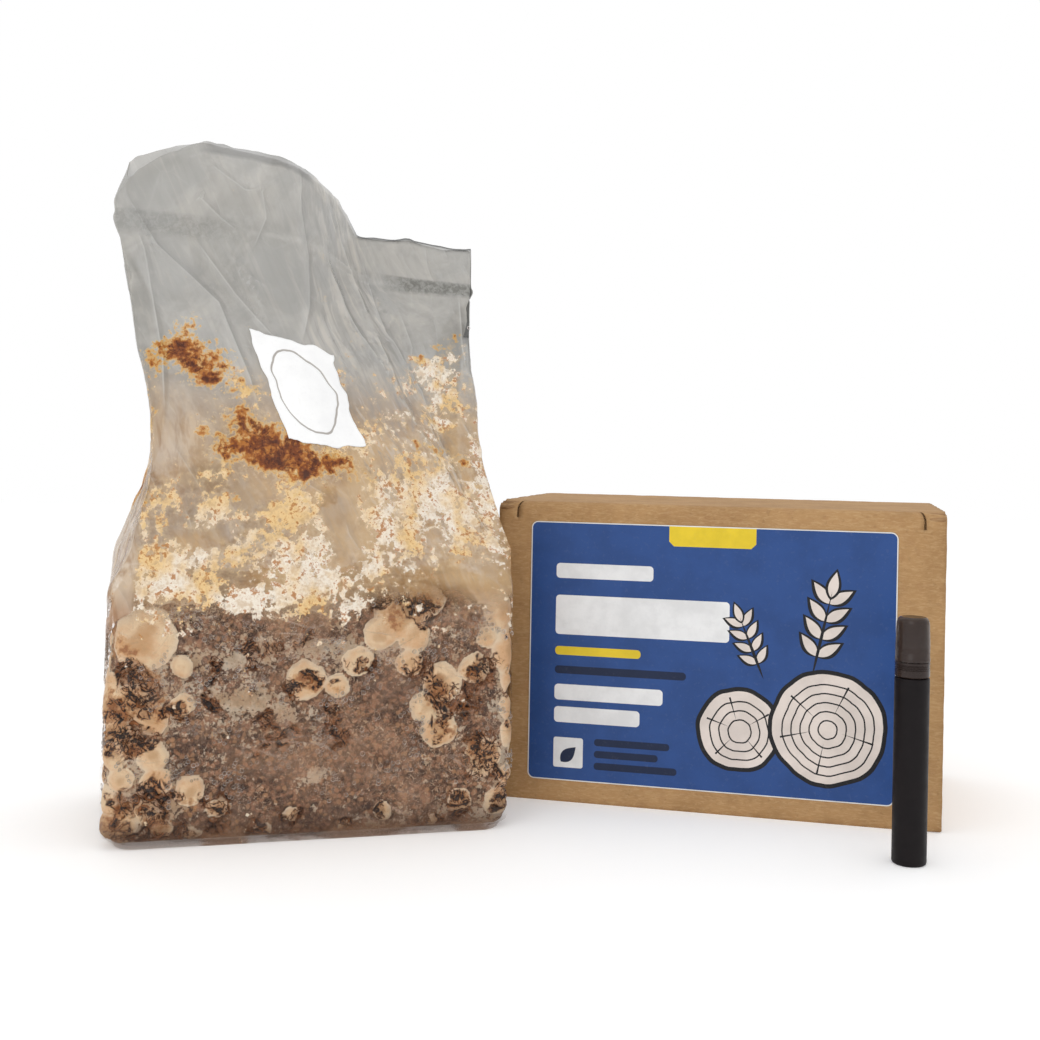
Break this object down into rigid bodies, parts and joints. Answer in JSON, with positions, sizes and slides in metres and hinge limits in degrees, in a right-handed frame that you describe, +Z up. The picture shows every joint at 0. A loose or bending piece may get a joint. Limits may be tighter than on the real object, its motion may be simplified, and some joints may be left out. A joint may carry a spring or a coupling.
{
  "type": "shiitake grow kit",
  "caption": "Colonised sawdust block in a sealed gusseted filter bag, standing with its corrugated mailer carton and a slim mist bottle.",
  "frame": {"origin": "on the floor, under the middle of the whole kit's bounding box", "axes": "+X to the right along the row of bag and carton, +Y from the front, where the label and the filter patch face, to the back, +Z up"},
  "size_m": [0.4594, 0.2316, 0.338],
  "materials": {
    "mycelium_block": "matte, lumpy",
    "bag_film": "glossy hazy film",
    "filter_patch": "matte spun-bonded",
    "kraft_board": "matte kraft",
    "printed_label": "satin print",
    "black_plastic": "satin black",
    "smoked_collar": "smoked, glossy",
    "smoked_cap": "smoked, clear, glossy"
  },
  "bodies": {
    "root": {"fruiting_block": "mycelium_block", "grow_bag": "bag_film", "filter_patch": "filter_patch", "mailer_carton": "kraft_board", "carton_label": "printed_label", "mist_bottle": "black_plastic", "mist_pump": "smoked_collar", "mist_cap": "smoked_cap"}
  },
  "joints": []
}
